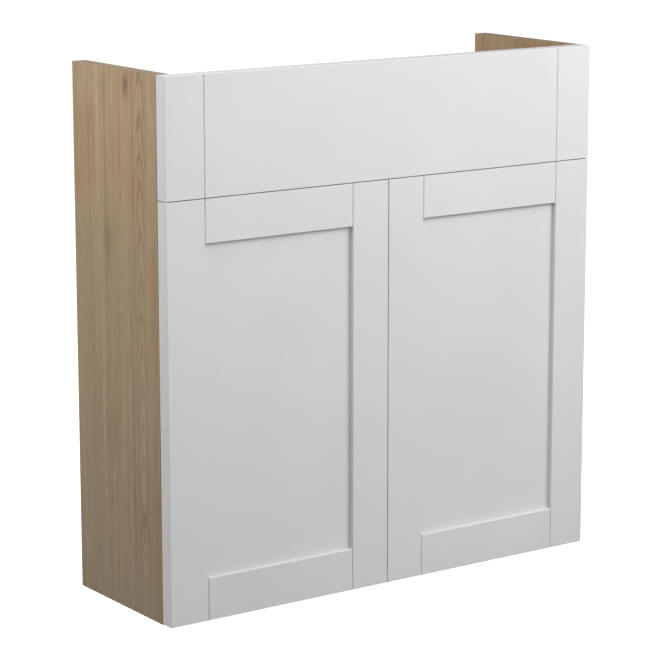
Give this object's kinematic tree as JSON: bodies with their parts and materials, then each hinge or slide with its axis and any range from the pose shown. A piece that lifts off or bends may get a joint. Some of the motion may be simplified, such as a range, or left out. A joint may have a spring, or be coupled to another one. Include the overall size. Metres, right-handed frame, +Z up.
{
  "type": "vanity base unit",
  "caption": "Slim open-topped bathroom base cabinet with a fixed shaker fascia over hinged shaker doors, to carry a basin or worktop.",
  "frame": {"origin": "middle of the footprint, on the floor", "axes": "+Z up, +Y towards the wall at the back, +X to the right seen from the front"},
  "size_m": [0.6, 0.202, 0.622],
  "materials": {
    "oak_board": "melamine faced, oak effect, vertical grain",
    "painted_front": "matt white painted fibreboard",
    "beech_dowel": "bare fluted beech",
    "zinc_cast": "bare die-cast zinc",
    "zinc_screw": "zinc plated",
    "plated_hinge": "nickel plated pressed steel",
    "clear_buffer": "clear soft pad",
    "spacer_plastic": "natural nylon"
  },
  "bodies": {
    "carcass": {"side_panel_left": "oak_board", "side_panel_right": "oak_board", "base_panel": "oak_board", "front_rail": "oak_board", "wall_rail": "oak_board", "foot_rail": "oak_board", "carcass_dowels": "beech_dowel", "cam_bolts": "zinc_screw", "cam_locks": "zinc_cast", "fascia_left_stile": "painted_front", "fascia_right_stile": "painted_front", "fascia_rail": "painted_front", "fascia_dowels": "beech_dowel", "fascia_spacers": "spacer_plastic", "fascia_screws": "zinc_screw", "hinge_plates": "plated_hinge", "plate_screws": "zinc_screw", "hinge_arms": "plated_hinge", "arm_screws": "zinc_screw", "arm_pins": "zinc_screw"},
    "left_main_links": {"left_main_links": "plated_hinge"},
    "left_guide_links": {"left_guide_links": "plated_hinge"},
    "left_door": {"left_hinge_stile": "painted_front", "left_meeting_stile": "painted_front", "left_top_rail": "painted_front", "left_bottom_rail": "painted_front", "left_centre_panel": "painted_front", "left_hinge_cups": "plated_hinge", "left_cup_pins": "zinc_screw", "left_cup_screws": "zinc_screw", "left_buffers": "clear_buffer"},
    "right_main_links": {"right_main_links": "plated_hinge"},
    "right_guide_links": {"right_guide_links": "plated_hinge"},
    "right_door": {"right_hinge_stile": "painted_front", "right_meeting_stile": "painted_front", "right_top_rail": "painted_front", "right_bottom_rail": "painted_front", "right_centre_panel": "painted_front", "right_hinge_cups": "plated_hinge", "right_cup_pins": "zinc_screw", "right_cup_screws": "zinc_screw", "right_buffers": "clear_buffer"}
  },
  "joints": [
    {"name": "left_main_link_turn", "type": "hinge", "parent": "carcass", "child": "left_main_links", "pos_m": [-0.2667, -0.068, 0.242], "axis": [0, 0, 1], "range_deg": [0, 46]},
    {"name": "left_door_swing", "type": "hinge", "parent": "left_main_links", "child": "left_door", "pos_m": [-0.2886, -0.0854, 0.242], "axis": [0, 0, -1], "range_deg": [0, 140.7]},
    {"name": "left_guide_link_turn", "type": "hinge", "parent": "carcass", "child": "left_guide_links", "pos_m": [-0.2618, -0.0784, 0.242], "axis": [0, 0, 1], "range_deg": [0, 38]},
    {"name": "right_main_link_turn", "type": "hinge", "parent": "carcass", "child": "right_main_links", "pos_m": [0.2667, -0.068, 0.242], "axis": [0, 0, -1], "range_deg": [0, 46]},
    {"name": "right_door_swing", "type": "hinge", "parent": "right_main_links", "child": "right_door", "pos_m": [0.2886, -0.0854, 0.242], "axis": [0, 0, 1], "range_deg": [0, 140.7]},
    {"name": "right_guide_link_turn", "type": "hinge", "parent": "carcass", "child": "right_guide_links", "pos_m": [0.2618, -0.0784, 0.242], "axis": [0, 0, -1], "range_deg": [0, 38]}
  ],
  "couplings": [
    {"joint": "left_main_link_turn", "follows": "left_door_swing", "ratio": 0.32481},
    {"joint": "left_guide_link_turn", "follows": "left_door_swing", "ratio": 0.26581},
    {"joint": "right_main_link_turn", "follows": "right_door_swing", "ratio": 0.32481},
    {"joint": "right_guide_link_turn", "follows": "right_door_swing", "ratio": 0.26581}
  ]
}
